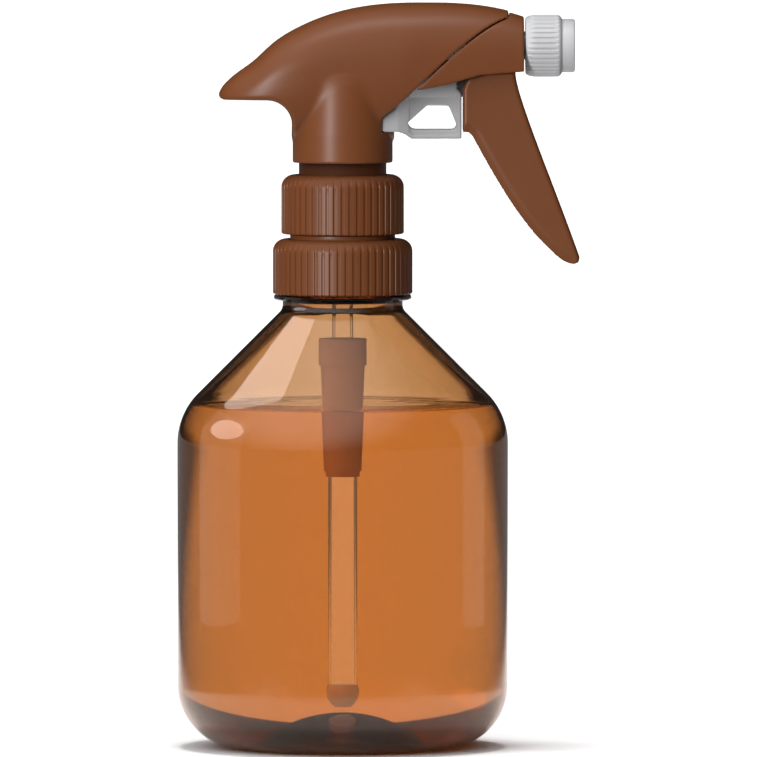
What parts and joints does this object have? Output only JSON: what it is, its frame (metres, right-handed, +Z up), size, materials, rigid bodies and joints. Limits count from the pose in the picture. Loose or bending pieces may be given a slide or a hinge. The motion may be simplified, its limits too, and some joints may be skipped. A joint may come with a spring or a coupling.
{
  "type": "spray bottle",
  "caption": "Round-shouldered clear bottle with a ribbed adapter ring, a swivel nut and a trigger pump head with an adjustable nozzle and a dip tube.",
  "frame": {"origin": "centre of the plane the bottle stands on, on the bottle's own axis", "axes": "+Z up along the bottle's axis, +X the way the nozzle points"},
  "size_m": [0.0965, 0.0794, 0.1789],
  "materials": {
    "amber_pet": "clear blow-moulded PET, gloss",
    "brown_pp": "injection-moulded polypropylene, satin",
    "white_pp": "injection-moulded polypropylene, satin",
    "seal": "moulded elastomer",
    "liner": "foamed polyethylene liner",
    "spring_steel": "drawn stainless wire",
    "ball_steel": "polished stainless ball",
    "clear_pe": "extruded polyethylene, translucent",
    "grey_pom": "injection-moulded acetal"
  },
  "bodies": {
    "bottle": {"bottle": "amber_pet"},
    "gasket": {"bottle_gasket": "liner"},
    "adapter": {"neck_adapter": "brown_pp"},
    "head": {"head_gasket": "liner", "swivel_neck": "brown_pp", "pump_chassis": "white_pp", "shroud": "brown_pp", "front_housing": "brown_pp", "return_spring": "spring_steel", "ball_cage": "white_pp", "valve_seat": "white_pp", "outlet_spring": "spring_steel", "spinner": "white_pp", "inlet_tube": "clear_pe", "tube_holder": "brown_pp", "dip_tube": "clear_pe", "tube_foot": "clear_pe"},
    "nut": {"closure_nut": "brown_pp"},
    "trigger": {"trigger": "brown_pp"},
    "piston": {"piston": "white_pp", "piston_seal": "seal"},
    "inlet_ball": {"inlet_ball": "ball_steel"},
    "outlet_ball": {"outlet_ball": "ball_steel"},
    "nozzle": {"nozzle_cap": "white_pp", "orifice_insert": "grey_pom", "nozzle_seal": "seal"}
  },
  "joints": [
    {"name": "ring_rise", "type": "slide", "parent": "bottle", "child": "gasket", "axis": [0, 0, 1], "range_m": [0, 0.0053]},
    {"name": "ring_turn", "type": "hinge", "parent": "gasket", "child": "adapter", "pos_m": [0, 0, 0.1155], "axis": [0, 0, 1], "range_deg": [0, 450]},
    {"name": "head_rise", "type": "slide", "parent": "adapter", "child": "head", "axis": [0, 0, 1], "range_m": [0, 0.00529]},
    {"name": "nut_turn", "type": "hinge", "parent": "head", "child": "nut", "pos_m": [0, 0, 0.1305], "axis": [0, 0, 1], "range_deg": [0, 450]},
    {"name": "trigger_pull", "type": "hinge", "parent": "head", "child": "trigger", "pos_m": [0.038, 0, 0.1705], "axis": [0, 1, 0], "range_deg": [0, 22], "stiffness_Nm_per_rad": 0.3, "springref_deg": -8.59},
    {"name": "piston_stroke", "type": "slide", "parent": "head", "child": "piston", "axis": [-1, 0, 0], "range_m": [0, 0.0045], "deforming": ["return_spring"]},
    {"name": "inlet_ball_lift", "type": "slide", "parent": "head", "child": "inlet_ball", "axis": [0, 0, 1], "range_m": [0, 0.0012]},
    {"name": "outlet_ball_open", "type": "slide", "parent": "head", "child": "outlet_ball", "axis": [1, 0, 0], "range_m": [0, 0.0008], "stiffness_N_per_m": 20, "springref_m": -0.0002, "deforming": ["outlet_spring"]},
    {"name": "nozzle_turn", "type": "hinge", "parent": "head", "child": "nozzle", "pos_m": [0.048, 0, 0.1685], "axis": [1, 0, 0], "continuous": true}
  ],
  "couplings": [
    {"joint": "ring_rise", "follows": "ring_turn", "m_per_rad": 0.00067323},
    {"joint": "nut_turn", "follows": "head_rise", "rad_per_m": 1485.4},
    {"joint": "piston_stroke", "follows": "trigger_pull", "m_per_rad": 0.0107}
  ]
}
